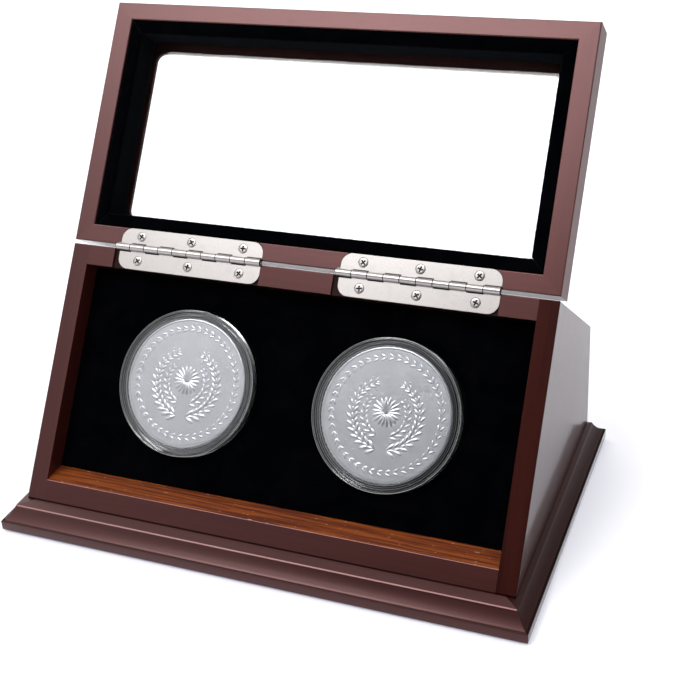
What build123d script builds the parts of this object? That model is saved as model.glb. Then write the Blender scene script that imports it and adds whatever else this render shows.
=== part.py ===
"""Desk-top display case for two encapsulated coins, lid open.

A wedge-shaped wooden box stands on a moulded plinth and shows the coins on a velvet insert.
A glazed lid hangs on two butt hinges along the top of the sloping front and folds back in line
with it.  +X is to the viewer's right, +Y to the back, +Z up; the origin is the centre of the
underside.  Millimetres.
"""
from math import cos, radians, sin, tan
import os

from build123d import *

os.makedirs("parts", exist_ok=True)

# ---- case body ----
case_width = 160.6
lean = 35.0                 # tilt of the front back from vertical, degrees
front_slope = 83.8          # length of the sloping front, bottom to hinge edge
top_slope = 56.0            # depth of the sloping top, square to the front
side_thickness = 6.0
top_thickness = 6.4
back_thickness = 6.0
rail_height = 7.0           # visible height of the front rail, along the slope
rail_depth = 18.0
arris = 0.35                # softened wood edges

# ---- plinth ----
felt_thickness = 0.6
felt_inset = 1.2
moulding_width = 16.0
lip_height = 3.9            # top of the moulding's vertical outer edge
lip_flat = 0.7              # level band between that edge and the cove
moulding_run = 4.0          # outer edge to the ledge's arris
cove_rise = 4.4
cove_radius = 10.0
plinth_height = lip_height + cove_rise
front_ledge = 4.2
side_ledge = 1.5
back_ledge = 0.3

# ---- coin, capsule and insert ----
coin_diameter = 40.6
coin_thickness = 3.0
coin_rim_width = 1.3
coin_field_drop = 0.3
capsule_base_height = 3.3
capsule_cover_height = 3.35
capsule_floor = 2.5
capsule_slack = 0.15        # coin to cavity wall and roof
capsule_split = 0.05        # parting line between base and cover
cover_window_drop = 0.3     # recess of the cover's clear centre
cover_bevel = 0.6
spigot_width = 1.15         # raised wall of the base, round the coin
spigot_height = 1.3
spigot_clearance = 0.05
capsule_wall = 1.5          # outer wall, from the spigot out
coin_pitch = 66.6
well_clearance = 0.15
well_bevel = 0.25
pad_depth = 6.3             # rim to velvet surface
pad_thickness = 3.0
board_thickness = 3.0
cleat_size = 6.0
cleat_clearance = 1.0       # end of cleat to front rail, and to the top panel

# ---- lid ----
lid_length = 80.6
lid_thickness = 13.2
lid_side_rim = 6.1
lid_end_rim = 5.7
lid_round = 3.5             # rounded-over outer edges
lip_thickness = 1.2
lip_side = 5.2              # width of the glazing lip inside each wall
lip_hinge = 5.0
lip_far = 7.6
window_radius = 3.0
glass_thickness = 1.6
glass_clearance = 0.3
lining_thickness = 4.3
lining_recess = 0.3
lining_round = 0.8

# ---- hinges ----
hinge_pitch = 76.0
knuckles = 10
knuckle_pitch = 5.1
knuckle_gap = 0.12
knuckle_clearance = 0.2     # knuckle to the edge of the other leaf
barrel_diameter = 2.3
hinge_gap = 1.25            # lid edge to case edge; the mortises clear the barrel
axis_height = 0.4           # hinge axis above the rims
pin_diameter = 1.1
pin_clearance = 0.05
pin_reach = 0.15            # pin past each end of the barrel
barrel_overhang = 0.98      # barrel past the leaf's left end
leaf_thickness = 0.8
leaf_margin = 0.1           # leaf edge to the inner edge of its rim
leaf_radius = 3.5
mortise_notch = 1.9         # case mortise past the leaf's left end
mortise_play = 0.1

# ---- hinge screws ----
screw_pitch = 18.0
screw_head_diameter = 3.1
screw_head_height = 0.75
screw_shank_diameter = 1.4
screw_length = 5.5
screw_clearance = 0.05

# ---- places worked out from the sizes above ----
lean_sin, lean_cos, lean_tan = sin(radians(lean)), cos(radians(lean)), tan(radians(lean))
case_depth = front_slope * lean_sin + top_slope * lean_cos
plinth_width = case_width + 2 * (side_ledge + moulding_run)
plinth_depth = case_depth + front_ledge + back_ledge + 2 * moulding_run
front_y = -plinth_depth / 2 + moulding_run + front_ledge
back_y = front_y + case_depth
inner_half = case_width / 2 - side_thickness
rail_top = plinth_height + rail_height * lean_cos

hinge_radius = barrel_diameter / 2
barrel_length = knuckles * knuckle_pitch
leaf_length = barrel_length - knuckle_gap - barrel_overhang
barrel_shift = barrel_overhang / 2
leaf_setback = hinge_radius + knuckle_clearance
axis_u = front_slope + hinge_gap / 2
lid_u = front_slope + hinge_gap
lid_centre_u = lid_u + lid_length / 2
insert_top_u = front_slope - top_thickness
insert_bottom_u = rail_height + pad_depth * lean_tan
coin_u = (insert_bottom_u + insert_top_u) / 2
board_depth = pad_depth + pad_thickness

coin_radius = coin_diameter / 2
cavity_radius = coin_radius + capsule_slack
spigot_radius = cavity_radius + spigot_width
capsule_radius = spigot_radius + capsule_wall

# The sloping front: local x is +X, local y runs up the slope, local z points at the viewer.
face = Plane(
    origin=(0, front_y, plinth_height), x_dir=(1, 0, 0), z_dir=(0, -lean_cos, lean_sin)
)


def slope_point(up, depth):
    """Point (y, z) at a distance up the sloping front and a depth behind it."""
    return (
        front_y + up * lean_sin + depth * lean_cos,
        plinth_height + up * lean_cos - depth * lean_sin,
    )


def slope_frame(x, up, height):
    """Plane square to the slope through a point on it, local y pointing at the viewer."""
    origin = face.from_local_coords((x, up, height))
    return Plane(origin=origin, x_dir=(1, 0, 0), z_dir=-face.y_dir)


# ======================================================================================
# Plinth: four mitred mouldings round a base board, on a felt sheet
# ======================================================================================
with BuildPart() as felt_base:
    with BuildSketch(Plane.XY):
        Rectangle(plinth_width - 2 * felt_inset, plinth_depth - 2 * felt_inset)
    extrude(amount=felt_thickness)
felt_base.part.label = "felt_base"
export_step(felt_base.part, "parts/felt_base.step")

with BuildPart() as base_board:
    with BuildSketch(Plane.XY.offset(felt_thickness)):
        Rectangle(plinth_width - 2 * moulding_width, plinth_depth - 2 * moulding_width)
    extrude(amount=plinth_height - felt_thickness)
base_board.part.label = "base_board"
export_step(base_board.part, "parts/base_board.step")


def moulding(length, across):
    """One moulding along local X, its outer edge at -Y, mitred at both ends."""
    outer = -across / 2
    with BuildPart() as strip:
        with BuildSketch(Plane.YZ):
            with BuildLine():
                cove_low = (outer + lip_flat, lip_height)
                cove_high = (outer + moulding_run, plinth_height)
                Polyline((outer, felt_thickness), (outer, lip_height), cove_low)
                RadiusArc(cove_low, cove_high, cove_radius)
                Polyline(
                    cove_high,
                    (outer + moulding_width, plinth_height),
                    (outer + moulding_width, felt_thickness),
                    (outer, felt_thickness),
                )
            make_face()
        extrude(amount=length / 2, both=True)
        long_edges = strip.edges().filter_by(Axis.X)
        ledge_edge = long_edges.sort_by_distance((0, outer + moulding_run, plinth_height))[0]
        lip_edge = long_edges.sort_by_distance((0, outer, lip_height))[0]
        fillet([ledge_edge, lip_edge], arris)
        with BuildSketch(Plane.XY):
            Polygon(
                (-length / 2, outer),
                (length / 2, outer),
                (length / 2 - moulding_width, outer + moulding_width),
                (-length / 2 + moulding_width, outer + moulding_width),
                align=None,
            )
        extrude(amount=plinth_height, mode=Mode.INTERSECT)
    return strip.part


for name, length, across, turn in (
    ("plinth_front", plinth_width, plinth_depth, 0),
    ("plinth_right", plinth_depth, plinth_width, 90),
    ("plinth_back", plinth_width, plinth_depth, 180),
    ("plinth_left", plinth_depth, plinth_width, 270),
):
    strip = Rot(0, 0, turn) * moulding(length, across)
    strip.label = name
    export_step(strip, f"parts/{name}.step")

# ======================================================================================
# Case: two side panels with the front rail, top and back between them
# ======================================================================================
front_top = slope_point(front_slope, 0)
back_top = slope_point(front_slope, top_slope)

with BuildPart() as right_side_panel:
    with BuildSketch(Plane.YZ.offset(inner_half)):
        Polygon(
            (front_y, plinth_height),
            front_top,
            back_top,
            (back_y, plinth_height),
            align=None,
        )
    extrude(amount=side_thickness)
    outline = right_side_panel.faces().sort_by(Axis.X)[-1].edges()
    foot = right_side_panel.faces().sort_by(Axis.Z)[0].edges()
    front = right_side_panel.faces().sort_by(Axis((0, 0, 0), face.z_dir))[-1]
    front_ends = front.edges().filter_by(Axis.X)
    fillet(ShapeList((set(outline) - set(foot)) | set(front_ends)), arris)
right_side_panel.part.label = "right_side_panel"
export_step(right_side_panel.part, "parts/right_side_panel.step")

with BuildPart() as left_side_panel:
    add(mirror(right_side_panel.part, about=Plane.YZ, mode=Mode.PRIVATE))
left_side_panel.part.label = "left_side_panel"
export_step(left_side_panel.part, "parts/left_side_panel.step")

with BuildPart() as front_rail:
    with BuildSketch(Plane.YZ):
        rail_nose = slope_point(rail_height, 0)
        Polygon(
            (front_y, plinth_height),
            rail_nose,
            (rail_nose[0] + rail_depth, rail_top),
            (rail_nose[0] + rail_depth, plinth_height),
            align=None,
        )
    extrude(amount=inner_half, both=True)
    ends = front_rail.edges().filter_by(Axis.X)
    nose = ends.sort_by_distance((0, *rail_nose))[0]
    foot = ends.sort_by_distance((0, front_y, plinth_height))[0]
    fillet([nose, foot], arris)
front_rail.part.label = "front_rail"
export_step(front_rail.part, "parts/front_rail.step")

hinge_centres = (-hinge_pitch / 2, hinge_pitch / 2)
case_leaf_edges = (front_slope - top_thickness + leaf_margin, axis_u - leaf_setback)
lid_leaf_edges = (lid_u + lid_end_rim - leaf_margin, axis_u + leaf_setback)
case_screw_u = sum(case_leaf_edges) / 2
lid_screw_u = sum(lid_leaf_edges) / 2
screw_offsets = (-screw_pitch, 0, screw_pitch)
pilot_radius = screw_shank_diameter / 2 + screw_clearance

with BuildPart() as top_panel:
    with BuildSketch(Plane.YZ):
        under_back = back_top[1] - top_thickness / lean_cos
        Polygon(
            slope_point(insert_top_u, 0),
            front_top,
            back_top,
            (back_y, under_back),
            align=None,
        )
    extrude(amount=inner_half, both=True)
    ends = top_panel.edges().filter_by(Axis.X)
    ridge_edges = [ends.sort_by_distance((0, *spot))[0] for spot in (front_top, back_top)]
    fillet(ridge_edges, arris)
    mortise_length = leaf_length + mortise_notch + mortise_play
    mortise_shift = (mortise_play - mortise_notch) / 2
    with BuildSketch(face):
        with Locations(*[(x + mortise_shift, front_slope) for x in hinge_centres]):
            Rectangle(mortise_length, 2 * top_thickness)
    extrude(amount=-leaf_thickness, mode=Mode.SUBTRACT)
    with BuildSketch(face):
        with Locations(*[(x + s, case_screw_u) for x in hinge_centres for s in screw_offsets]):
            Circle(pilot_radius)
    extrude(amount=-screw_length - screw_clearance, mode=Mode.SUBTRACT)
top_panel.part.label = "top_panel"
export_step(top_panel.part, "parts/top_panel.step")

with BuildPart() as back_panel:
    with BuildSketch(Plane.YZ):
        Polygon(
            (back_y - back_thickness, plinth_height),
            (back_y, plinth_height),
            (back_y, under_back),
            (back_y - back_thickness, under_back + back_thickness * lean_tan),
            align=None,
        )
    extrude(amount=inner_half, both=True)
back_panel.part.label = "back_panel"
export_step(back_panel.part, "parts/back_panel.step")

# ======================================================================================
# Velvet insert: a backing board with a pad pierced by two wells, on cleats and the rail
# ======================================================================================


def insert_layer(near, far):
    """Outline (y, z) of a layer of the insert between two depths, resting on the rail."""
    return [
        slope_point(rail_height + near * lean_tan, near),
        slope_point(insert_top_u, near),
        slope_point(insert_top_u, far),
        slope_point(rail_height + far * lean_tan, far),
    ]


coin_centres = ((-coin_pitch / 2, coin_u), (coin_pitch / 2, coin_u))

with BuildPart() as display_pad:
    with BuildSketch(Plane.YZ):
        Polygon(*insert_layer(pad_depth, board_depth), align=None)
    extrude(amount=inner_half, both=True)
    with BuildSketch(face.offset(-pad_depth)):
        with Locations(*coin_centres):
            Circle(capsule_radius + well_clearance)
    extrude(amount=-pad_thickness, mode=Mode.SUBTRACT)
    mouths = display_pad.edges().filter_by(GeomType.CIRCLE)
    chamfer(mouths.group_by(Axis((0, 0, 0), face.z_dir))[-1], well_bevel)
display_pad.part.label = "display_pad"
export_step(display_pad.part, "parts/display_pad.step")

with BuildPart() as display_board:
    with BuildSketch(Plane.YZ):
        Polygon(*insert_layer(board_depth, board_depth + board_thickness), align=None)
    extrude(amount=inner_half, both=True)
display_board.part.label = "display_board"
export_step(display_board.part, "parts/display_board.step")

cleat_depth = board_depth + board_thickness
cleat_low = rail_height + (cleat_depth + cleat_size) * lean_tan + cleat_clearance
cleat_high = insert_top_u - cleat_clearance
for side, name in ((-1, "left_cleat"), (1, "right_cleat")):
    with BuildPart() as cleat:
        with BuildSketch(face.offset(-cleat_depth)):
            with Locations((side * (inner_half - cleat_size / 2), (cleat_low + cleat_high) / 2)):
                Rectangle(cleat_size, cleat_high - cleat_low)
        extrude(amount=-cleat_size)
    cleat.part.label = name
    export_step(cleat.part, f"parts/{name}.step")

# ======================================================================================
# Coins in two-part clear capsules
# ======================================================================================
cover_low = capsule_base_height + capsule_split
cover_high = cover_low + capsule_cover_height
roof = capsule_floor + coin_thickness + capsule_slack
rebate_radius = spigot_radius + spigot_clearance

for side, name in ((-1, "left"), (1, "right")):
    section = slope_frame(side * coin_pitch / 2, coin_u, -board_depth)
    turn_axis = Axis(section.origin, section.y_dir)

    with BuildPart() as capsule_base:
        with BuildSketch(section):
            Polygon(
                (0, 0),
                (capsule_radius, 0),
                (capsule_radius, capsule_base_height),
                (spigot_radius, capsule_base_height),
                (spigot_radius, capsule_base_height + spigot_height),
                (cavity_radius, capsule_base_height + spigot_height),
                (cavity_radius, capsule_floor),
                (0, capsule_floor),
                align=None,
            )
        revolve(axis=turn_axis)
    capsule_base.part.label = f"{name}_capsule_base"
    export_step(capsule_base.part, f"parts/{name}_capsule_base.step")

    with BuildPart() as capsule_cover:
        with BuildSketch(section):
            Polygon(
                (0, roof),
                (rebate_radius, roof),
                (rebate_radius, cover_low),
                (capsule_radius, cover_low),
                (capsule_radius, cover_high - cover_bevel),
                (capsule_radius - cover_bevel, cover_high),
                (cavity_radius, cover_high),
                (coin_radius, cover_high - cover_window_drop),
                (0, cover_high - cover_window_drop),
                align=None,
            )
        revolve(axis=turn_axis)
    capsule_cover.part.label = f"{name}_capsule_cover"
    export_step(capsule_cover.part, f"parts/{name}_capsule_cover.step")

    with BuildPart() as coin:
        coin_top = capsule_floor + coin_thickness
        with BuildSketch(section):
            Polygon(
                (0, capsule_floor + coin_field_drop),
                (coin_radius - coin_rim_width, capsule_floor + coin_field_drop),
                (coin_radius - coin_rim_width, capsule_floor),
                (coin_radius, capsule_floor),
                (coin_radius, coin_top),
                (coin_radius - coin_rim_width, coin_top),
                (coin_radius - coin_rim_width, coin_top - coin_field_drop),
                (0, coin_top - coin_field_drop),
                align=None,
            )
        revolve(axis=turn_axis)
    coin.part.label = f"{name}_coin"
    export_step(coin.part, f"parts/{name}_coin.step")

# ======================================================================================
# Lid: a mitred frame with a glazing lip, glass, and velvet lining strips
# ======================================================================================
cavity_width = case_width - 2 * lid_side_rim
cavity_length = lid_length - 2 * lid_end_rim
cavity_depth = lid_thickness - lip_thickness
window_low = lid_u + lid_end_rim + lip_hinge
window_high = lid_u + lid_length - lid_end_rim - lip_far
lining_depth = cavity_depth - glass_thickness

with BuildPart() as lid_frame:
    with BuildSketch(face.offset(-lid_thickness)):
        with Locations((0, lid_centre_u)):
            Rectangle(case_width, lid_length)
    extrude(amount=lid_thickness)
    fillet(lid_frame.faces().sort_by(Axis((0, 0, 0), face.z_dir))[0].edges(), lid_round)
    with BuildSketch(face):
        with Locations((0, lid_centre_u)):
            Rectangle(cavity_width, cavity_length)
    extrude(amount=-cavity_depth, mode=Mode.SUBTRACT)
    fillet(lid_frame.faces().sort_by(Axis((0, 0, 0), face.z_dir))[-1].edges(), arris)
    with BuildSketch(face):
        with Locations((0, (window_low + window_high) / 2)):
            RectangleRounded(cavity_width - 2 * lip_side, window_high - window_low, window_radius)
    extrude(amount=-lid_thickness, mode=Mode.SUBTRACT)
    with BuildSketch(face):
        with Locations(*[(x, lid_u) for x in hinge_centres]):
            RectangleRounded(
                leaf_length + 2 * mortise_play,
                2 * (lid_end_rim + mortise_play),
                leaf_radius,
            )
        with Locations(*[(x - barrel_shift, axis_u) for x in hinge_centres]):
            Rectangle(barrel_length + 2 * mortise_play, 2 * leaf_setback)
    extrude(amount=-leaf_thickness, mode=Mode.SUBTRACT)
    with BuildSketch(face):
        with Locations(*[(x + s, lid_screw_u) for x in hinge_centres for s in screw_offsets]):
            Circle(pilot_radius)
    extrude(amount=-screw_length - screw_clearance, mode=Mode.SUBTRACT)


def mitred_side(edge):
    """Corner points of the wedge that cuts one side out of a rectangular lid ring."""
    across = case_width / 2
    along = lid_length / 2
    reach = min(across, along) / 2
    corners = {
        "hinge": ((-1, -1), (1, -1)),
        "far": ((1, 1), (-1, 1)),
        "left": ((-1, 1), (-1, -1)),
        "right": ((1, -1), (1, 1)),
    }[edge]
    outer = [(sx * across, lid_centre_u + sy * along) for sx, sy in corners]
    inner = [
        (sx * (across - reach), lid_centre_u + sy * (along - reach)) for sx, sy in corners
    ]
    return [outer[0], outer[1], inner[1], inner[0]]


def mitred_piece(ring, edge):
    """One mitred side of a lid ring, as its own part."""
    with BuildPart() as piece:
        add(ring)
        with BuildSketch(face):
            Polygon(*mitred_side(edge), align=None)
        extrude(amount=-lid_thickness, mode=Mode.INTERSECT)
    return piece.part


for edge, name in (
    ("hinge", "lid_hinge_rail"),
    ("far", "lid_far_rail"),
    ("left", "lid_left_stile"),
    ("right", "lid_right_stile"),
):
    member = mitred_piece(lid_frame.part, edge)
    member.label = name
    export_step(member, f"parts/{name}.step")

with BuildPart() as lining_ring:
    with BuildSketch(face.offset(-lining_depth)):
        with Locations((0, lid_centre_u)):
            Rectangle(cavity_width, cavity_length)
            Rectangle(
                cavity_width - 2 * lining_thickness,
                cavity_length - 2 * lining_thickness,
                mode=Mode.SUBTRACT,
            )
    extrude(amount=lining_depth - lining_recess)
    front_loops = lining_ring.faces().sort_by(Axis((0, 0, 0), face.z_dir))[-1]
    fillet(front_loops.inner_wires()[0].edges(), lining_round)

for edge in ("hinge", "far", "left", "right"):
    strip = mitred_piece(lining_ring.part, edge)
    strip.label = f"lid_lining_{edge}"
    export_step(strip, f"parts/lid_lining_{edge}.step")

with BuildPart() as lid_glass:
    with BuildSketch(face.offset(-cavity_depth)):
        with Locations((0, lid_centre_u)):
            Rectangle(cavity_width - 2 * glass_clearance, cavity_length - 2 * glass_clearance)
    extrude(amount=glass_thickness)
lid_glass.part.label = "lid_glass"
export_step(lid_glass.part, "parts/lid_glass.step")

# ======================================================================================
# Hinges: mortised leaves with interleaved knuckles on a pin
# ======================================================================================
screw_head_radius = screw_head_diameter / 2
sink_angle = 90


def barrel_section(x):
    """Plane across the hinge barrel at x, local x up the slope, local y at the viewer."""
    origin = face.from_local_coords((x, axis_u, axis_height))
    return Plane(origin=origin, x_dir=face.y_dir, z_dir=(1, 0, 0))


def hinge_leaf(centre, edges, first):
    """A leaf in its mortise between two heights, with every second knuckle from the first."""
    barrel_start = centre - barrel_shift - barrel_length / 2
    far_edge, near_edge = edges
    middle = (far_edge + near_edge) / 2
    toward_far = face.y_dir * (1 if far_edge > near_edge else -1)
    spots = [
        barrel_start + (i + 0.5) * knuckle_pitch
        for i in range(first, knuckles, 2)
    ]
    with BuildPart() as leaf:
        with BuildSketch(face.offset(-leaf_thickness)):
            with Locations((centre, middle)):
                Rectangle(leaf_length, abs(far_edge - near_edge))
        extrude(amount=leaf_thickness)
        uprights = leaf.edges().filter_by(Axis((0, 0, 0), face.z_dir))
        fillet(uprights.sort_by(Axis((0, 0, 0), toward_far))[-2:], leaf_radius)
        with BuildSketch(face.offset(-leaf_thickness)):
            with Locations(*[(x, (near_edge + axis_u) / 2) for x in spots]):
                Rectangle(knuckle_pitch - knuckle_gap, leaf_setback)
        extrude(amount=leaf_thickness)
        for x in spots:
            with BuildSketch(barrel_section(x)):
                Circle(hinge_radius)
            extrude(amount=(knuckle_pitch - knuckle_gap) / 2, both=True)
        with BuildSketch(barrel_section(barrel_start)):
            Circle(pin_diameter / 2 + pin_clearance)
        extrude(amount=barrel_length, mode=Mode.SUBTRACT)
        with Locations(face):
            with Locations(*[(centre + s, middle) for s in screw_offsets]):
                CounterSinkHole(
                    radius=pilot_radius,
                    counter_sink_radius=screw_head_radius + screw_clearance,
                    depth=leaf_thickness,
                    counter_sink_angle=sink_angle,
                )
    return leaf.part


def wood_screw(x, up):
    """Countersunk screw driven square into the rim, head flush with the leaf."""
    shank_radius = screw_shank_diameter / 2
    with BuildPart() as screw:
        with BuildSketch(slope_frame(x, up, 0)):
            Polygon(
                (0, 0),
                (screw_head_radius, 0),
                (shank_radius, -screw_head_height),
                (shank_radius, -screw_length),
                (0, -screw_length),
                align=None,
            )
        revolve(axis=Axis(face.from_local_coords((x, up, 0)), face.z_dir))
    return screw.part


case_screws = []
lid_screws = []
for centre, name in zip(hinge_centres, ("left", "right")):
    lid_leaf = hinge_leaf(centre, lid_leaf_edges, 0)
    lid_leaf.label = f"{name}_hinge_lid_leaf"
    export_step(lid_leaf, f"parts/{name}_hinge_lid_leaf.step")

    case_leaf = hinge_leaf(centre, case_leaf_edges, 1)
    case_leaf.label = f"{name}_hinge_case_leaf"
    export_step(case_leaf, f"parts/{name}_hinge_case_leaf.step")

    with BuildPart() as hinge_pin:
        with BuildSketch(barrel_section(centre - barrel_shift)):
            Circle(pin_diameter / 2)
        extrude(amount=barrel_length / 2 + pin_reach, both=True)
    hinge_pin.part.label = f"{name}_hinge_pin"
    export_step(hinge_pin.part, f"parts/{name}_hinge_pin.step")

    case_screws += [wood_screw(centre + s, case_screw_u) for s in screw_offsets]
    lid_screws += [wood_screw(centre + s, lid_screw_u) for s in screw_offsets]

for name, screws in (("case_hinge_screws", case_screws), ("lid_hinge_screws", lid_screws)):
    group = Compound(label=name, children=screws)
    export_step(group, f"parts/{name}.step")
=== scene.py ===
from itertools import count
from math import cos, pi, radians, sin

import bpy
from mathutils import Matrix, Vector


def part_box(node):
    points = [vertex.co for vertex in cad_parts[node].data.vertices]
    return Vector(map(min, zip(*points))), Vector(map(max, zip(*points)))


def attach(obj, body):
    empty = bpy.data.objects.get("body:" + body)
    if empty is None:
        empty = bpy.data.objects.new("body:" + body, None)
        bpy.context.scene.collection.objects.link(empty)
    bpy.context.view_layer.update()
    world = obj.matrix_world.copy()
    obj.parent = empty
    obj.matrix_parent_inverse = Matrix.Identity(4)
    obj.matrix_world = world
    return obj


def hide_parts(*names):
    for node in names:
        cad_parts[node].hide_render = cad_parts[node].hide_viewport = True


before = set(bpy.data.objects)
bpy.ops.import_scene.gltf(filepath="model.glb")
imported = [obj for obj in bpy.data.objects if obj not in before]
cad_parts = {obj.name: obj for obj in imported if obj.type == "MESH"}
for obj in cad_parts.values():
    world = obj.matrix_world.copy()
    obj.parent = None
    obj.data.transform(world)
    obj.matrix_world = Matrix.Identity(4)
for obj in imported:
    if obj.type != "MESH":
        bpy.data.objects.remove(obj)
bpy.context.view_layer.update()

# ---- Felt under the plinth -------------------------------------------------------------
# A thin sheet of dark green wool felt, glued under the case so that it doesn't scratch the
# table. It is a flat sheet with a soft cut edge, in matt felt with a random lie of fibres.


class Value:
    """One output of a finish's nodes; the operators add Math nodes to that finish."""

    def __init__(self, finish, socket):
        self.finish, self.socket = finish, socket

    def math(self, operation, *others):
        sockets = dict(enumerate((self, *others)))
        return self.finish.node("Math", {"operation": operation}, sockets)[0]

    def __add__(self, other):
        return self.math("ADD", other)

    def __sub__(self, other):
        return self.math("SUBTRACT", other)

    def __rsub__(self, other):
        return self.finish.node("Math", {"operation": "SUBTRACT"}, {0: other, 1: self})[0]

    def __mul__(self, other):
        return self.math("MULTIPLY", other)

    def __mod__(self, other):
        return self.math("FLOORED_MODULO", other)

    def __abs__(self):
        return self.math("ABSOLUTE")

    __radd__, __rmul__ = __add__, __mul__

    def between(self, low, high):
        """0 below low, 1 above high, smooth in between."""
        settings = {"interpolation_type": "SMOOTHSTEP"}
        return self.finish.node("MapRange", settings, {0: self, 1: low, 2: high})[0]


class Finish:
    """A material built node by node round one Principled shader."""

    def __init__(self, name):
        self.material = bpy.data.materials.new(name)
        self.material.use_nodes = True
        self.tree = self.material.node_tree
        self.tree.nodes.clear()

    def node(self, kind, settings, sockets):
        """Adds a node, sets it up, fills or links its sockets, and wraps its outputs."""
        made = self.tree.nodes.new("ShaderNode" + kind)
        for name, value in settings.items():
            setattr(made, name, value)
        for key, value in sockets.items():
            if isinstance(value, Value):
                self.tree.links.new(value.socket, made.inputs[key])
            elif made.inputs[key].type == "RGBA":
                made.inputs[key].default_value = (*value, 1)
            else:
                made.inputs[key].default_value = value
        return [Value(self, output) for output in made.outputs]

    def place(self):
        """Where a point of the surface is, in metres from the model's origin."""
        return self.node("TexCoord", {}, {})[3]

    def facing(self, direction):
        """How far the surface faces a direction, from -1 to 1."""
        normal = self.node("NewGeometry", {}, {})[1]
        return self.node("VectorMath", {"operation": "DOT_PRODUCT"}, {0: normal, 1: direction})[1]

    def noise(self, where, scale, detail=3.0, roughness=0.5, distortion=0.0):
        sockets = {0: where, 2: scale, 3: detail, 4: roughness, 8: distortion}
        return self.node("TexNoise", {}, sockets)[0]

    def stretched(self, where, along, ratio):
        """Places drawn out along a direction, so that noise on them makes streaks."""
        more = self.along(where, along) * (ratio - 1)
        shift = self.node("VectorMath", {"operation": "SCALE"}, {0: along, 3: more})[0]
        return self.node("VectorMath", {"operation": "ADD"}, {0: where, 1: shift})[0]

    def along(self, where, direction):
        """Distance from the origin along a direction."""
        return self.node("VectorMath", {"operation": "DOT_PRODUCT"}, {0: where, 1: direction})[1]

    def blend(self, factor, first, second):
        return self.node("Mix", {"data_type": "RGBA"}, {0: factor, 6: first, 7: second})[2]

    def bump(self, height, strength, distance):
        sockets = {"Strength": strength, "Distance": distance, "Height": height}
        return self.node("Bump", {}, sockets)[0]

    def shade(self, **sockets):
        """The Principled shader and the output; names are written with underscores."""
        named = {key.replace("_", " "): value for key, value in sockets.items()}
        surface = self.node("BsdfPrincipled", {}, named)[0]
        self.node("OutputMaterial", {}, {0: surface})
        return self.material


def pick_only(*pieces):
    """Leaves just these pieces selected, the first one active."""
    bpy.ops.object.select_all(action="DESELECT")
    for piece in pieces:
        piece.select_set(True)
    bpy.context.view_layer.objects.active = pieces[0]


def settle(piece):
    """Writes the piece's place into its mesh, so that it sits at the origin unturned."""
    pick_only(piece)
    bpy.ops.object.transform_apply(location=True, rotation=True, scale=True)


def apply_all(piece):
    pick_only(piece)
    for modifier in list(piece.modifiers):
        bpy.ops.object.modifier_apply(modifier=modifier.name)


def dress(piece, material):
    piece.data.materials.clear()
    piece.data.materials.append(material)


def pick_faces(piece, wanted):
    """Enters edit mode with just the faces selected that pass a test on their normal."""
    pick_only(piece)
    bpy.ops.object.mode_set(mode="EDIT")
    bpy.ops.mesh.select_mode(type="FACE")
    bpy.ops.mesh.select_all(action="DESELECT")
    bpy.ops.object.mode_set(mode="OBJECT")
    for face in piece.data.polygons:
        face.select = wanted(face.normal)
    bpy.ops.object.mode_set(mode="EDIT")


def box_piece(name, low, high):
    """A closed box between two corners, to be shaped further."""
    low, high = Vector(low), Vector(high)
    bpy.ops.object.select_all(action="DESELECT")
    bpy.ops.mesh.primitive_cube_add(size=1, location=(low + high) / 2, scale=high - low)
    piece = bpy.context.object
    piece.name = piece.data.name = name
    settle(piece)
    return piece


felt_cuts, felt_roughness = 40, 0.00012
felt_low, felt_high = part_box("felt_base")
felt = box_piece("felt_sheet", felt_low, felt_high)
bpy.ops.object.mode_set(mode="EDIT")
bpy.ops.mesh.select_all(action="SELECT")
bpy.ops.mesh.subdivide(number_cuts=felt_cuts)
bpy.ops.mesh.select_all(action="DESELECT")
bpy.ops.object.mode_set(mode="OBJECT")
lie = bpy.data.textures.new("felt_lie", "CLOUDS")
lie.noise_scale = 0.004
wool = felt.modifiers.new("lie", "DISPLACE")
wool.texture, wool.strength, wool.mid_level = lie, -felt_roughness, 0.0
apply_all(felt)

finish = Finish("green_felt")
where = finish.place()
fibres = finish.noise(where, 900, 5, 0.7, 1.5)
patches = finish.noise(where, 60, 2)
dark_wool, light_wool = (0.006, 0.012, 0.009), (0.022, 0.036, 0.028)
wool_colour = finish.blend(fibres.between(0.3, 0.75), dark_wool, light_wool)
dress(felt, finish.shade(
    Base_Color=finish.blend(patches * 0.5, wool_colour, (0.010, 0.018, 0.014)),
    Roughness=0.95,
    Specular_IOR_Level=0.1,
    Sheen_Weight=0.3,
    Sheen_Roughness=0.6,
    Normal=finish.bump(fibres, 0.6, 0.0002),
))
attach(felt, "case")
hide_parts("felt_base")

# ---- Plain boards inside ---------------------------------------------------------------
# The base board and the two cleats are pale plywood and pine, sawn and left unfinished. The
# board behind the velvet is blackened, because it shows in the wells through the capsules.
finish = Finish("plain_board")
where = finish.place()
board_grain, saw_direction = Vector((1, 0, 0)), Vector((0, 0.6, 0.8))
streaks = finish.noise(finish.stretched(where, board_grain, 0.05), 700, 5, 0.6)
saw_marks = finish.noise(finish.stretched(where, saw_direction, 0.02), 1500, 2)
board_colour = finish.blend(streaks.between(0.3, 0.7), (0.34, 0.22, 0.13), (0.52, 0.38, 0.25))
bare_board = finish.shade(
    Base_Color=board_colour,
    Roughness=0.62 + streaks * 0.2,
    Specular_IOR_Level=0.3,
    Normal=finish.bump(streaks * 0.6 + saw_marks * 0.4, 0.3, 0.0001),
)
for name in ("base_board", "left_cleat", "right_cleat"):
    dress(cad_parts[name], bare_board)

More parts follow.
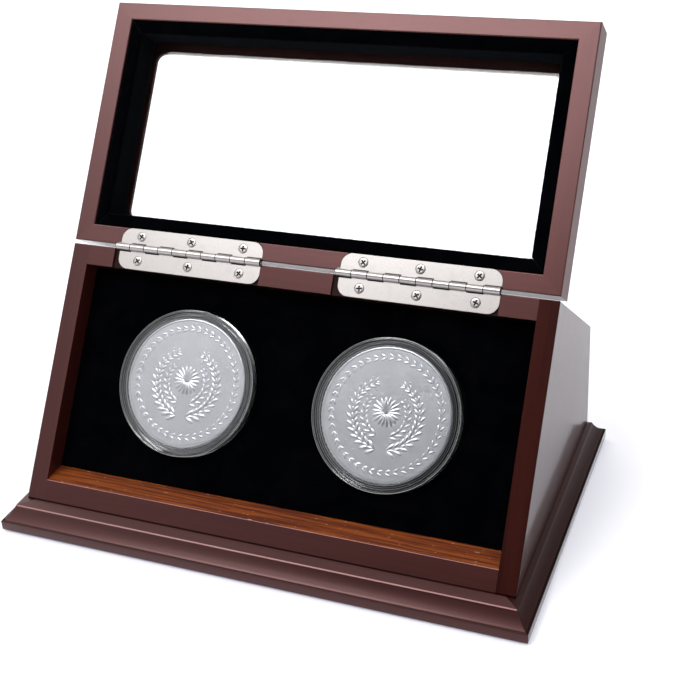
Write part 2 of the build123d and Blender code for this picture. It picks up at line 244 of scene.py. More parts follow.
finish = Finish("blackened_board")
flecks = finish.noise(finish.stretched(finish.place(), board_grain, 0.05), 700, 5, 0.6)
dress(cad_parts["display_board"], finish.shade(
    Base_Color=finish.blend(flecks.between(0.3, 0.7), (0.004, 0.004, 0.005), (0.012, 0.011, 0.011)),
    Roughness=0.7,
    Specular_IOR_Level=0.2,
))

# ---- Mahogany case and lid frame -------------------------------------------------------
# Plinth mouldings, case panels and lid rails are solid mahogany, stained deep red-brown and
# sprayed with a satin lacquer. The grain runs along each piece, with fine open pores.
lean = radians(35.0)
upward, rightward = Vector((0, 0, 1)), Vector((1, 0, 0))
up_slope = Vector((0, sin(lean), cos(lean)))
out_of_slope = Vector((0, -cos(lean), sin(lean)))
lip_height, ledge_height = 0.0039, 0.0083
front_foot = Vector((0, -0.0450191, ledge_height))
rim_level = front_foot.dot(out_of_slope)
slope_length = 0.0838
lid_level = front_foot.dot(up_slope) + slope_length + 0.0003
side_plane, glass_depth, window_half = 0.078, 0.0120, 0.0760
mortise_top, mortise_floor = 0.0005, 0.0011


def mahogany(name, grain, gloss, inside=None, deep=1.0, glint_facing=None, glint_from=0.0):
    """Stained and lacquered wood. A bare, paler face looks toward inside. A pale highlight is
    painted along the arris that looks toward the glint direction, above the glint height."""
    finish = Finish(name)
    where = finish.place()
    figure = finish.noise(finish.stretched(where, grain, 0.06), 170, 4, 0.5, 0.3)
    streaks = finish.noise(finish.stretched(where, grain, 0.03), 1300, 4, 0.6)
    pores = finish.noise(finish.stretched(where, grain, 0.05), 4200, 2, 0.5)
    clouds = finish.noise(where, 20, 2)
    open_pores = pores.between(0.62, 0.72)
    dark, light, bright = (
        tuple(deep * channel for channel in colour)
        for colour in ((0.0150, 0.0026, 0.0018), (0.0270, 0.0050, 0.0033), (0.0380, 0.0072, 0.0046))
    )
    colour = finish.blend(figure.between(0.30, 0.70), dark, light)
    colour = finish.blend(streaks.between(0.45, 0.75) * 0.45, colour, bright)
    colour = finish.blend(open_pores * 0.5, colour, (0.007, 0.0014, 0.0012))
    level = finish.along(where, upward)
    depth = rim_level - finish.along(where, out_of_slope)
    off_middle = abs(finish.along(where, rightward))
    # The glazing lip round the window and the mortise floors are left matt. The mortise floors are
    # also painted dark as shade, further down.
    reveal = depth.between(glass_depth - 0.0001, glass_depth + 0.0001)
    reveal = reveal * (1 - off_middle.between(window_half, window_half + 0.0005))
    let_in = depth.between(mortise_top, mortise_top + 0.0001)
    let_in = let_in * (1 - depth.between(mortise_floor - 0.0001, mortise_floor))
    let_in = let_in * finish.facing(out_of_slope).between(0.8, 0.95)
    # Edges across the slope and the outer right side are shinier, but for the lid's own side.
    edge_on = abs(finish.facing(up_slope)).between(0.9, 0.97)
    outer = finish.facing(rightward).between(0.9, 0.97)
    outer = outer * finish.along(where, rightward).between(side_plane, side_plane + 0.001)
    lid_side = outer * finish.along(where, up_slope).between(lid_level, lid_level + 0.0002)
    polish = 0.92 - 0.46 * level.between(lip_height - 0.0003, lip_height - 0.0001)
    # Painted shade: dark in the plinth's hollow, in the quirk at the top of its lip and at the
    # case's foot.
    hollow = level.between(lip_height + 0.0002, lip_height + 0.0006)
    hollow = hollow * (1 - level.between(ledge_height - 0.0009, ledge_height - 0.0004))
    quirk = level.between(lip_height - 0.00020, lip_height - 0.00005)
    quirk = quirk * (1 - level.between(lip_height + 0.00001, lip_height + 0.00008))
    foot = level.between(ledge_height + 0.00002, ledge_height + 0.00004)
    foot = foot * (1 - level.between(ledge_height + 0.0004, ledge_height + 0.0007))
    foot = foot * (1 - finish.facing(upward).between(0.5, 0.7))
    colour = finish.blend(hollow * 0.5, colour, (0.010, 0.0012, 0.0010))
    # Painted shade in the mortise floors, the quirk and the case's foot, blended toward near black.
    shadow = let_in * 0.85 + quirk * 0.9 + foot * 0.8
    colour = finish.blend(shadow, colour, (0.001, 0.0004, 0.0003))
    rough = 0.28 + clouds * 0.06 + streaks * 0.05 + open_pores * 0.06 + (reveal + let_in) * 0.6
    rough = rough + hollow * 0.15 + (quirk + foot) * 0.4 + lid_side * 0.27
    # A pale line painted along the arris as a highlight, where the edge would catch the light.
    if glint_facing:
        painted_glint = finish.facing(glint_facing).between(0.91, 0.95)
        painted_glint = painted_glint * level.between(glint_from, glint_from + 0.0001)
        colour = finish.blend(painted_glint * 0.8, colour, (0.34, 0.19, 0.185))
    if inside:
        bare = finish.facing(inside).between(0.8, 0.95)
        bare_dark, bare_light = (0.060, 0.009, 0.0008), (0.215, 0.049, 0.003)
        grained = finish.blend(streaks.between(0.38, 0.62), bare_dark, bare_light)
        grained = finish.blend(figure.between(0.40, 0.75) * 0.4, grained, (0.11, 0.020, 0.0015))
        grained = finish.blend(open_pores * 0.9, grained, (0.018, 0.003, 0.001))
        flecks = finish.noise(finish.stretched(where, grain, 0.22), 1900, 2, 0.5)
        grained = finish.blend(flecks.between(0.70, 0.74) * 0.7, grained, (0.60, 0.36, 0.20))
        colour = finish.blend(bare, colour, grained)
        rough = rough + bare * 0.25
    return finish.shade(
        Base_Color=colour,
        Roughness=rough,
        Specular_IOR_Level=gloss,
        Specular_Tint=(1.0, 0.50, 0.50),
        Coat_Weight=0.2 * gloss**2 + edge_on * 0.7 + (outer - lid_side) * polish,
        Coat_Roughness=0.10,
        Normal=finish.bump(streaks * 0.35 - open_pores * 0.65, 0.06, 0.00005),
    )


wood_across = mahogany("mahogany_across", rightward, 0.6)
wood_left = mahogany("mahogany_left_side", up_slope, 0.55)
wood_right = mahogany("mahogany_right_side", up_slope, 0.12, deep=0.97)
# The front rail's upper front arris carries a painted pale highlight.
between_faces = (out_of_slope + upward).normalized()
wood_rail = mahogany(
    "mahogany_front_rail", rightward, 0.52, inside=upward, glint_facing=between_faces, glint_from=0.0084
)
lid_across = mahogany("mahogany_lid_across", rightward, 0.83)
lid_up_slope = mahogany("mahogany_lid_up_slope", up_slope, 0.79)
for material, names in (
    (wood_across, ("top_panel", "back_panel")),
    (wood_left, ("left_side_panel",)),
    (wood_right, ("right_side_panel",)),
    (wood_rail, ("front_rail",)),
    (lid_across, ("lid_hinge_rail", "lid_far_rail")),
    (lid_up_slope, ("lid_left_stile", "lid_right_stile")),
):
    for name in names:
        dress(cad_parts[name], material)

# ---- Plinth mouldings ------------------------------------------------------------------
# Four lengths of the same moulding, mitred at the corners: an upright lip, a narrow flat, a
# hollow cove and the ledge that the case stands on, with its sharp edges taken off.
lip_flat, moulding_width, arris_width = 0.0007, 0.016, 0.0003
cove_centre, cove_radius = (-0.0053414, 0.0118685), 0.010
cove_from, cove_to, cove_steps = radians(-52.83), radians(-20.91), 8

block_low, block_high = Vector(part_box("plinth_left")[0]), Vector(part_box("plinth_right")[1])
half_width, half_depth = block_high.x, block_high.y
block = box_piece("plinth_block", block_low, (block_high.x, block_high.y, lip_height))
pick_faces(block, lambda normal: normal.z > 0.9)
bpy.ops.mesh.inset(thickness=lip_flat)
turns = [cove_from + (cove_to - cove_from) * i / cove_steps for i in range(cove_steps + 1)]
profile = [
    (cove_centre[0] + cove_radius * cos(turn), cove_centre[1] + cove_radius * sin(turn))
    for turn in turns
]
for (run, rise), (next_run, next_rise) in zip(profile, profile[1:]):
    bpy.ops.mesh.inset(thickness=next_run - run)
    bpy.ops.transform.translate(value=(0, 0, next_rise - rise))
bpy.ops.object.mode_set(mode="OBJECT")
soft_edge = block.modifiers.new("soft_edge", "BEVEL")
soft_edge.width, soft_edge.segments = arris_width, 3
soft_edge.limit_method, soft_edge.angle_limit = "ANGLE", radians(40)
apply_all(block)

backward = Vector((0, 1, 0))
# The front moulding's ledge arris carries a painted pale highlight.
arris = Vector((0, -0.62, 0.79)).normalized()
front_moulding = mahogany("mahogany_front_moulding", rightward, 0.6, glint_facing=arris, glint_from=0.0079)
# The right moulding is a painted-shade copy of the moulding finish: its colour is darkened to 0.6.
shaded_right_moulding = mahogany("mahogany_right_moulding", backward, 0.16, deep=0.6)
left_moulding = mahogany("mahogany_left_moulding", backward, 0.5)
for name, material, (across, along) in (
    ("front", front_moulding, (0, -1)),
    ("right", shaded_right_moulding, (1, 0)),
    ("back", wood_across, (0, 1)),
    ("left", left_moulding, (-1, 0)),
):
    strip = block.copy()
    strip.data = block.data.copy()
    strip.name = strip.data.name = f"cove_moulding_{name}"
    bpy.context.collection.objects.link(strip)
    out = Vector((across, along, 0))
    side = Vector((-along, across, 0))
    edge = Vector((across * half_width, along * half_depth, 0))
    reach = half_width if across == 0 else half_depth
    pick_only(strip)
    bpy.ops.object.mode_set(mode="EDIT")
    for co, no in (
        (edge + side * reach, side - out),
        (edge - side * reach, -side - out),
        (edge - out * moulding_width, -out),
    ):
        bpy.ops.mesh.select_all(action="SELECT")
        bpy.ops.mesh.bisect(plane_co=co, plane_no=no, use_fill=True, clear_outer=True)
    bpy.ops.object.mode_set(mode="OBJECT")
    bpy.ops.object.shade_smooth_by_angle(angle=radians(30))
    dress(strip, material)
    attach(strip, "case")
    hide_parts(f"plinth_{name}")
bpy.data.objects.remove(block)

# ---- Velvet pad with its wells, and the lining strips of the lid -------------------------
# The pad is foam-backed card wrapped in black velvet, with two round wells for the capsules.
# The lid's strips are wrapped the same way and glued inside its frame, against the glass.
finish = Finish("black_velvet")
where = finish.place()
nap = finish.noise(where, 2600, 4, 0.7)
brushed = finish.noise(where, 90, 3, 0.5, 0.8)
deep_black, brushed_black = (0.0005, 0.0006, 0.0010), (0.0012, 0.0013, 0.0019)
black_velvet = finish.shade(
    Base_Color=finish.blend(brushed.between(0.35, 0.7), deep_black, brushed_black),
    Roughness=1.0,
    Specular_IOR_Level=0.0,
    Sheen_Weight=0.035,
    Sheen_Roughness=0.35,
    Sheen_Tint=(0.75, 0.85, 1.0),
    Normal=finish.bump(nap, 0.8, 0.0004),
)
pile = bpy.data.textures.new("velvet_pile", "CLOUDS")
pile.noise_scale, pile.noise_depth = 0.0012, 2


def wrapped_in_velvet(name, node, body, voxel, softened):
    """A soft copy of a node: its edges rounded over, with the slight fuzz of the pile."""
    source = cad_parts[node]
    piece = source.copy()
    piece.data = source.data.copy()
    piece.name = piece.data.name = name
    piece.parent = None
    bpy.context.collection.objects.link(piece)
    pick_only(piece)
    bpy.ops.object.mode_set(mode="EDIT")
    bpy.ops.mesh.select_all(action="SELECT")
    bpy.ops.mesh.remove_doubles(threshold=0.000001)
    bpy.ops.object.mode_set(mode="OBJECT")
    mesh_of = piece.modifiers.new("even", "REMESH")
    mesh_of.mode, mesh_of.voxel_size = "VOXEL", voxel
    soft = piece.modifiers.new("soft", "SMOOTH")
    soft.factor, soft.iterations = 0.5, softened
    fuzz = piece.modifiers.new("fuzz", "DISPLACE")
    fuzz.texture, fuzz.strength, fuzz.mid_level = pile, 0.00018, 0.75
    apply_all(piece)
    bpy.ops.object.shade_smooth()
    dress(piece, black_velvet)
    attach(piece, body)
    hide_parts(node)
    return piece


wrapped_in_velvet("velvet_pad", "display_pad", "case", 0.00055, 4)
for side in ("hinge", "far", "left", "right"):
    wrapped_in_velvet(f"velvet_lining_{side}", f"lid_lining_{side}", "lid", 0.0005, 3)

# ---- Round capsules --------------------------------------------------------------------
# Each capsule is a base and a cover moulded in clear acrylic, with polished walls that pick up fine
# handling scratches, and fine moulded beads round the cover in a grey, half-clear finish that
# paints the light lines of their edges.
finish = Finish("clear_acrylic")
where = finish.place()
scratches = finish.noise(finish.stretched(where, Vector((0.8, 0.3, 0.5)), 0.03), 2500, 2)
clear_acrylic = finish.shade(
    Base_Color=(0.97, 0.98, 1.0),
    Roughness=0.01 + scratches.between(0.62, 0.75) * 0.04,
    IOR=1.49,
    Specular_IOR_Level=0.25,
    Transmission_Weight=1.0,
    Normal=finish.bump(scratches, 0.02, 0.00002),
)
for side in ("left", "right"):
    for half in ("base", "cover"):
        dress(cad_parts[f"{side}_capsule_{half}"], clear_acrylic)

# Painted reflection: the beads are grey and half clear, so that they show as light lines on the
# cover.
finish = Finish("acrylic_edge_glints")
acrylic_edge_glints = finish.shade(
    Base_Color=(0.36, 0.37, 0.39),
    Roughness=0.2,
    Specular_IOR_Level=1.0,
    Alpha=0.75,
)


def flat_piece(name, add, **sizes):
    """Adds a primitive by itself and names it."""
    bpy.ops.object.select_all(action="DESELECT")
    add(**sizes)
    piece = bpy.context.object
    piece.name = piece.data.name = name
    return piece


on_slope = Matrix((Vector((1, 0, 0)), up_slope, out_of_slope)).transposed().to_4x4()
cover_half = 0.001675
# Each bead's distance from the middle, its thickness and how far it lies below the face.
beads_from_edge = (
    (0.02298, 0.00009, 0.00004),
    (0.02250, 0.00005, 0.00001),
    (0.02185, 0.00006, 0.00001),
    (0.02125, 0.00004, 0.00001),
    (0.02062, 0.00007, 0.00003),
)
for side in ("left", "right"):
    low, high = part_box(f"{side}_capsule_cover")
    beads = []
    for radius, thickness, drop in beads_from_edge:
        beads.append(flat_piece(
            "bead", bpy.ops.mesh.primitive_torus_add, major_segments=160, minor_segments=6,
            major_radius=radius, minor_radius=thickness, location=(0, 0, cover_half - drop),
        ))
        settle(beads[-1])
    pick_only(*beads)
    bpy.ops.object.join()
    ring = bpy.context.object
    ring.name = ring.data.name = f"{side}_cover_beads"
    ring.matrix_world = Matrix.Translation((Vector(low) + Vector(high)) / 2) @ on_slope
    settle(ring)
    bpy.ops.object.shade_smooth()
    dress(ring, acrylic_edge_glints)
    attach(ring, f"{side}_cover")

# ---- Coins -----------------------------------------------------------------------------
# Struck silver pieces with a frosted field, a polished rim and a reeded edge. Their relief
# is a rosette between two laurel branches, inside a garland of leaves and berries.
coin_radius, coin_half = 0.0203, 0.0015
rim_width, rim_bevel, rim_foot, field_depth = 0.0007, 0.00015, 0.00025, 0.0003
rim_rise, reed_root, edge_from = 0.00005, 0.995, coin_radius - 0.00002
field_level = coin_half - field_depth
garland_radius, garland_count = 0.0171, 44
branch_radius, branch_count = 0.0106, 14
sprig_radius, sprig_count = 0.0067, 8
rosette_height, petal_count = 0.0008, 18

finish = Finish("struck_silver")
where = finish.place()
height = finish.node("Attribute", {"attribute_name": "relief"}, {})[2]
frost = finish.noise(where, 6000, 3, 0.6)
handling = finish.noise(where, 140, 3)
raised = height.between(0.05, 0.6)
field_silver, raised_silver = (0.465, 0.467, 0.48), (0.54, 0.54, 0.555)
handled_silver = (0.66, 0.65, 0.66)
silver_colour = finish.blend(raised, field_silver, raised_silver)
struck_silver = finish.shade(
    Base_Color=finish.blend(handling.between(0.4, 0.75) * 0.15, silver_colour, handled_silver),
    Metallic=1.0,
    Roughness=0.42 - raised * 0.10 + frost * 0.06,
    Normal=finish.bump(frost, 0.10, 0.00002),
)


def mark_relief(piece, amount_at):
    """How far each point of the strike stands out of the field, for the finish."""
    relief = piece.data.attributes.new("relief", "FLOAT", "POINT")
    relief.data.foreach_set("value", [amount_at(point.co) for point in piece.data.vertices])


def pick_points(piece, wanted):
    """Enters edit mode with just the vertices selected that pass a test."""
    pick_only(piece)
    bpy.ops.object.mode_set(mode="EDIT")
    bpy.ops.mesh.select_mode(type="VERT")
    bpy.ops.mesh.select_all(action="DESELECT")
    bpy.ops.object.mode_set(mode="OBJECT")
    for point in piece.data.vertices:
        point.select = wanted(point.co)
    bpy.ops.object.mode_set(mode="EDIT")


def leaf_shape(name, length, width, depth):
    """A pointed leaf lying along X from its stalk at the origin, with a raised midrib."""
    leaf = flat_piece(
        name, bpy.ops.mesh.primitive_uv_sphere_add, segments=10, ring_count=8, radius=0.5
    )
    pick_only(leaf)
    leaf.rotation_euler = (0, pi / 2, 0)
    bpy.ops.object.transform_apply(rotation=True)
    # Both ends are drawn in to points, and the middle line is lifted into the midrib.
    for end in (-1, 1):
        pick_points(leaf, lambda co: abs(co.x - end * 0.46) < 0.05 and abs(co.x) < 0.49)
        bpy.ops.transform.resize(value=(1, 0.45, 0.5), center_override=(end * 0.5, 0, 0))
        bpy.ops.object.mode_set(mode="OBJECT")
    pick_points(leaf, lambda co: abs(co.y) < 0.02 and co.z > 0.05)
    bpy.ops.transform.translate(value=(0, 0, 0.22))
    bpy.ops.object.mode_set(mode="OBJECT")
    leaf.scale = (length, width, depth)
    leaf.location = (length / 2, 0, 0)
    settle(leaf)
    bpy.ops.object.shade_flat()
    return leaf


def copies_at(source, places):
    """One copy of a piece at each place, given as x, y, turn and size."""
    made = []
    for x, y, turn, size in places:
        copy = source.copy()
        copy.data = source.data.copy()
        bpy.context.collection.objects.link(copy)
        turned = Matrix.Rotation(turn, 4, "Z") @ Matrix.Scale(size, 4)
        copy.matrix_world = Matrix.Translation((x, y, field_level)) @ turned
        settle(copy)
        made.append(copy)
    return made


def turned_blank(name):
    """The coin before its strike: a disc with a sunk field, a rim on both sides and reeds."""
    blank = flat_piece(
        name, bpy.ops.mesh.primitive_cylinder_add, vertices=300,
        radius=coin_radius, depth=2 * coin_half,
    )
    for side in (1, -1):
        pick_faces(blank, lambda normal: normal.z * side > 0.9)
        bpy.ops.mesh.inset(thickness=rim_bevel)
        bpy.ops.transform.translate(value=(0, 0, side * rim_rise))
        bpy.ops.mesh.inset(thickness=rim_width - rim_bevel - rim_foot)
        bpy.ops.mesh.inset(thickness=rim_foot)
        bpy.ops.transform.translate(value=(0, 0, -side * field_depth))
        bpy.ops.mesh.select_all(action="DESELECT")
        bpy.ops.object.mode_set(mode="OBJECT")
    # Every other pair of points round the edge is drawn in, which leaves the reeds.
    edge_points = count()
    pick_points(blank, lambda co: co.xy.length > edge_from and next(edge_points) % 4 < 2)
    bpy.ops.transform.resize(value=(reed_root, reed_root, 1))
    bpy.ops.object.mode_set(mode="OBJECT")
    rim_from = coin_radius - rim_width
    mark_relief(blank, lambda co: 0.8 if co.xy.length > rim_from else 0.0)
    return blank


def relief_places():
    """Where the leaves, berries and petals lie, each as x, y, turn and size."""
    leaves, berries = [], []
    for i in range(garland_count):
        angle = 2 * pi * i / garland_count
        x, y = garland_radius * cos(angle), garland_radius * sin(angle)
        leaves.append((x, y, angle + pi / 2 - 0.5, 0.64))
        leaves.append((x, y, angle + pi / 2 + 0.5, 0.64))
        angle += 0.085
        berries.append((garland_radius * cos(angle), garland_radius * sin(angle), 0, 0.62))
    for side in (-1, 1):
        for i in range(branch_count):
            angle = -pi / 2 + side * (0.15 + i * 0.19)
            reach = branch_radius - 0.00004 * i
            x, y = reach * cos(angle), reach * sin(angle)
            heading = angle + side * pi / 2
            size = 1.1 - 0.035 * i
            leaves.append((x, y, heading - 0.62, size))
            leaves.append((x, y, heading + 0.62, size))
            leaves.append((x, y, heading, 0.8 * size))
            if i % 2:
                berries.append((x * 1.19, y * 1.19, 0, 0.9))
                berries.append((x * 0.80, y * 0.80, 0, 0.9))
        for i in range(sprig_count):
            angle = -pi / 2 + side * (0.30 + i * 0.27)
            x, y = sprig_radius * cos(angle), sprig_radius * sin(angle)
            heading = angle + side * pi / 2
            size = 0.82 - 0.04 * i
            leaves.append((x, y, heading - 0.5, size))
            leaves.append((x, y, heading + 0.5, size))
    petals = []
    for number, start, size in (
        (petal_count, 0.0, 1.15),
        (petal_count, 0.5, 0.85),
        (petal_count // 2, 0.0, 0.50),
    ):
        petals += [(0, rosette_height, 2 * pi * (i + start) / number, size) for i in range(number)]
    return leaves, berries, petals


def struck_coin(name, node, body):
    """Strikes the relief on the blank's upper side and lays the coin where its node is."""
    blank = turned_blank(name)
    leaf = leaf_shape("leaf_pattern", 0.0034, 0.0012, 0.0005)
    petal = leaf_shape("petal_pattern", 0.0042, 0.0010, 0.0005)
    sphere = bpy.ops.mesh.primitive_uv_sphere_add
    berry = flat_piece("berry_pattern", sphere, segments=8, ring_count=6, radius=0.00034)
    boss = flat_piece("boss_pattern", sphere, segments=16, ring_count=8, radius=0.0008)
    for pattern, amount in ((leaf, 0.7), (petal, 0.6), (berry, 0.9), (boss, 0.9)):
        mark_relief(pattern, lambda co: amount)
    leaves, berries, petals = relief_places()
    parts = copies_at(leaf, leaves) + copies_at(berry, berries)
    parts += copies_at(petal, petals) + copies_at(boss, [(0, rosette_height, 0, 0.8)])
    pick_only(blank, *parts)
    bpy.ops.object.join()
    for pattern in (leaf, berry, petal, boss):
        bpy.data.objects.remove(pattern)

    low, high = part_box(node)
    blank.matrix_world = Matrix.Translation((Vector(low) + Vector(high)) / 2) @ on_slope
    settle(blank)
    bpy.ops.object.shade_smooth_by_angle(angle=radians(35))
    dress(blank, struck_silver)
    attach(blank, body)
    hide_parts(node)


struck_coin("left_struck_coin", "left_coin", "left_capsule")
struck_coin("right_struck_coin", "right_coin", "right_capsule")

# ---- Hinges ----------------------------------------------------------------------------
# Pressed steel butt hinges, ten knuckles each on a steel pin, let into the rims and nickel
# plated. The plate is bright, with a faint grain from the rolling and a few rubs.
hinge_from_middle, barrel_start, knuckle_pitch = 0.038, -0.02599, 0.0051
axis_level = front_foot.dot(up_slope) + slope_length + 0.000625

finish = Finish("nickel_plate")
where = finish.place()
rolled = finish.noise(finish.stretched(where, (1, 0, 0), 0.04), 2600, 3, 0.6)
rubs = finish.noise(where, 300, 4, 0.6, 0.5)
bright_nickel, rubbed_nickel = (0.40, 0.378, 0.370), (0.34, 0.320, 0.312)
nickel_colour = finish.blend(rubs.between(0.45, 0.75) * 0.5, bright_nickel, rubbed_nickel)
# Painted shade: dark lines between the knuckles and along the free edge of each, and in the
# mortises.
from_middle = finish.along(where, rightward)
from_start = from_middle - from_middle.math("SIGN") * hinge_from_middle - barrel_start
to_seam = from_start.math("PINGPONG", knuckle_pitch / 2)
height = finish.along(where, out_of_slope) - rim_level
seam = (1 - to_seam.between(0.00009, 0.00018)) * height.between(0.00010, 0.00020)
from_axis = finish.along(where, up_slope) - axis_level
odd = from_start % (2 * knuckle_pitch)
odd = odd.between(knuckle_pitch - 0.00001, knuckle_pitch + 0.00001)
lid_half = from_axis.between(-0.00001, 0.00001)
free_edge = odd * lid_half + (1 - odd) * (1 - lid_half)
off_axis = abs(from_axis)
groove = off_axis.between(0.00100, 0.00112) * (1 - off_axis.between(0.00140, 0.00160))
groove = groove * free_edge
sunk = 1 - height.between(-0.00016, -0.00010)
# The painted shade also roughens the plate where it lies.
painted_shade = (seam.math("MAXIMUM", groove) * 0.85).math("MAXIMUM", sunk * 0.9)
nickel = finish.shade(
    Base_Color=finish.blend(painted_shade, nickel_colour, (0.010, 0.009, 0.009)),
    Metallic=1.0,
    Roughness=0.20 + rolled * 0.08 + rubs * 0.10 + painted_shade * 0.3,
    Normal=finish.bump(rolled, 0.05, 0.00002),
)
for side in ("left", "right"):
    for name in ("lid_leaf", "case_leaf", "pin"):
        dress(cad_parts[f"{side}_hinge_{name}"], nickel)

# ---- Hinge screws ----------------------------------------------------------------------
# Small countersunk wood screws with a cross recess, nickel plated like the leaves. The head
# is turned with a slight dome and sits in its countersink.
head_radius, head_height, shank_length = 0.00155, 0.00075, 0.0042
shank_share, taper = 0.46, 0.85
edge_width, dome_width, dome_drop, dome_rise = 0.00020, 0.00030, 0.00022, 0.00006
cross_length, cross_width, cross_depth = 0.0019, 0.00050, 0.00055


def cross_screw(name):
    """A screw along Z with the top of its head at the origin."""
    screw = flat_piece(
        name, bpy.ops.mesh.primitive_cylinder_add, vertices=32, radius=head_radius,
        depth=head_height, location=(0, 0, -head_height / 2),
    )
    settle(screw)
    pick_faces(screw, lambda normal: normal.z < -0.9)
    bpy.ops.transform.resize(value=(shank_share, shank_share, 1))
    bpy.ops.mesh.extrude_region_move(TRANSFORM_OT_translate={"value": (0, 0, -shank_length)})
    bpy.ops.transform.resize(value=(taper, taper, 1))
    bpy.ops.object.mode_set(mode="OBJECT")
    pick_faces(screw, lambda normal: normal.z > 0.9)
    bpy.ops.transform.translate(value=(0, 0, -dome_drop))
    bpy.ops.mesh.inset(thickness=edge_width)
    bpy.ops.transform.translate(value=(0, 0, dome_drop))
    bpy.ops.mesh.inset(thickness=dome_width)
    bpy.ops.transform.translate(value=(0, 0, dome_rise))
    bpy.ops.object.mode_set(mode="OBJECT")
    for turn in (0, pi / 2):
        blade = flat_piece(
            "cross_blade", bpy.ops.mesh.primitive_cube_add, size=1, location=(0, 0, 0),
            scale=(cross_length, cross_width, 2 * cross_depth), rotation=(0, 0, turn + 0.5),
        )
        cut = screw.modifiers.new("cross", "BOOLEAN")
        cut.operation, cut.object, cut.solver = "DIFFERENCE", blade, "EXACT"
        apply_all(screw)
        bpy.data.objects.remove(blade)
    return screw


def screws_in(name, node, body, turns):
    """The six screws of one node, each turned as the driver left it."""
    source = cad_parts[node]
    copy = source.copy()
    copy.data = source.data.copy()
    bpy.context.collection.objects.link(copy)
    pick_only(copy)
    bpy.ops.object.mode_set(mode="EDIT")
    bpy.ops.mesh.select_all(action="SELECT")
    bpy.ops.mesh.remove_doubles(threshold=0.000001)
    bpy.ops.mesh.separate(type="LOOSE")
    bpy.ops.object.mode_set(mode="OBJECT")
    shells = list(bpy.context.selected_objects)
    pattern = cross_screw("screw_pattern")
    made = []
    for shell, turn in zip(sorted(shells, key=lambda s: s.data.vertices[0].co.x), turns):
        points = [Vector(p.co) for p in shell.data.vertices]
        top = max(p.dot(out_of_slope) for p in points)
        rim = [p for p in points if p.dot(out_of_slope) > top - 0.00001]
        centre = sum(rim, Vector()) / len(rim)
        screw = pattern.copy()
        screw.data = pattern.data.copy()
        bpy.context.collection.objects.link(screw)
        screw.matrix_world = Matrix.Translation(centre) @ on_slope @ Matrix.Rotation(turn, 4, "Z")
        settle(screw)
        made.append(screw)
        bpy.data.objects.remove(shell)
    bpy.data.objects.remove(pattern)
    pick_only(*made)
    bpy.ops.object.join()
    screws = bpy.context.object
    screws.name = screws.data.name = name
    bpy.ops.object.shade_smooth_by_angle(angle=radians(30))
    dress(screws, nickel)
    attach(screws, body)
    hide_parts(node)


screws_in("case_cross_screws", "case_hinge_screws", "case", (0.2, 0.9, 0.5, 1.2, 0.1, 0.7))
screws_in("lid_cross_screws", "lid_hinge_screws", "lid", (0.6, 0.1, 1.1, 0.3, 0.8, 0.4))

# ---- Glass of the lid ------------------------------------------------------------------
# A pane of clear float glass, laid on the lid's lip and held by the lining strips, with the
# faint smears that wiping leaves.
finish = Finish("float_glass")
where = finish.place()
smears = finish.noise(finish.stretched(where, Vector((0.7, 0.4, 0.6)), 0.15), 120, 3)
clear_glass = finish.shade(
    Base_Color=(0.985, 0.995, 0.99),
    Roughness=smears.between(0.6, 0.8) * 0.03,
    IOR=1.5,
    Transmission_Weight=1.0,
)
dress(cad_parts["lid_glass"], clear_glass)

# ---- Table, light and camera -----------------------------------------------------------
# A plain white sweep in a white room, with a bright window high on the left in front. The
# room is dark in front on the right and low behind on the right.
bpy.ops.object.select_all(action="DESELECT")
bpy.ops.mesh.primitive_plane_add(size=12, location=(0, 0, 0))
table = bpy.context.object
table.name = table.data.name = "white_table"
finish = Finish("white_sweep")
dress(table, finish.shade(
    Base_Color=(0.76, 0.76, 0.76),
    Roughness=0.6,
    Specular_IOR_Level=0.2,
    Emission_Color=(0.22, 0.22, 0.28),
    Emission_Strength=1.0,
))

world = bpy.data.worlds.new("white_room")
bpy.context.scene.world = world
world.use_nodes = True
nodes, links = world.node_tree.nodes, world.node_tree.links
coordinate = nodes.new("ShaderNodeTexCoord")


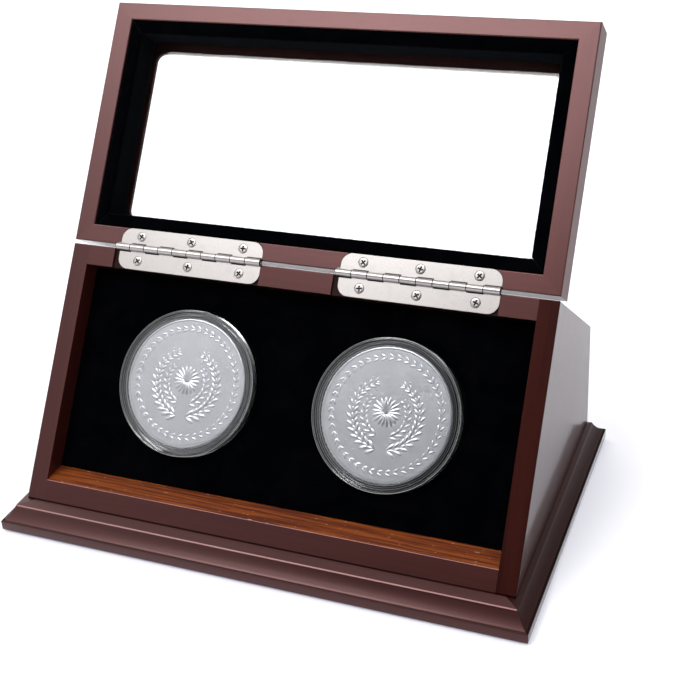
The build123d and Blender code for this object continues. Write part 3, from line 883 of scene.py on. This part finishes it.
def sky_zone(azimuth, elevation, inner, outer, at_centre, outside):
    """Light that changes from a direction outward, between two angles from it in degrees.

    The azimuth is counted from straight in front, rightward.
    """
    toward = nodes.new("ShaderNodeVectorMath")
    toward.operation = "DOT_PRODUCT"
    flat, rise = radians(azimuth), radians(elevation)
    toward.inputs[1].default_value = (sin(flat) * cos(rise), -cos(flat) * cos(rise), sin(rise))
    zone = nodes.new("ShaderNodeMapRange")
    zone.interpolation_type = "SMOOTHSTEP"
    limits = (cos(radians(outer)), cos(radians(inner)), outside, at_centre)
    for socket, limit in zip(zone.inputs[1:5], limits):
        socket.default_value = limit
    links.new(coordinate.outputs["Generated"], toward.inputs[0])
    links.new(toward.outputs["Value"], zone.inputs[0])
    return zone.outputs[0]


dark_front = sky_zone(12, 25, 24, 38, 0.0, 1.0)
window = sky_zone(-37, 57, 3, 21, 8.0, 0.0)
pale_back_left = sky_zone(-150, 38, 8, 55, 0.6, 0.0)
pale_back_right = sky_zone(120, 30, 10, 60, 0.5, 0.0)
dark_low_right = sky_zone(141, -4, 10, 45, -0.9, 0.0)
total = dark_front
for zone in (window, pale_back_left, pale_back_right, dark_low_right):
    adding = nodes.new("ShaderNodeMath")
    links.new(total, adding.inputs[0])
    links.new(zone, adding.inputs[1])
    total = adding.outputs[0]
links.new(total, nodes["Background"].inputs["Strength"])
nodes["Background"].inputs["Color"].default_value = (1.0, 1.0, 1.0, 1)

# The camera stands in front on the right, looks down on the case and is turned a little
# clockwise. Its lens is set in pixels of the image.
image_height, focal_pixels, shift_pixels = 692, 1265.457, -38
camera_place = Vector((0.149139, -0.311373, 0.242995))
yaw, pitch, roll = radians(23.514), radians(27.376), radians(-3.902)
camera = bpy.data.cameras.new("camera")
holder = bpy.data.objects.new("camera", camera)
bpy.context.collection.objects.link(holder)
bpy.context.scene.camera = holder
ahead = Vector((-sin(yaw) * cos(pitch), cos(yaw) * cos(pitch), -sin(pitch)))
level = Vector((cos(yaw), sin(yaw), 0))
upright = level.cross(ahead)
right = cos(roll) * level + sin(roll) * upright
top = -sin(roll) * level + cos(roll) * upright
turned = Matrix((right, top, -ahead)).transposed().to_4x4()
holder.matrix_world = Matrix.Translation(camera_place) @ turned
camera.lens = focal_pixels * camera.sensor_width / image_height
camera.shift_y = shift_pixels / image_height
camera.clip_start = 0.01
bpy.context.scene.view_settings.view_transform = "Standard"
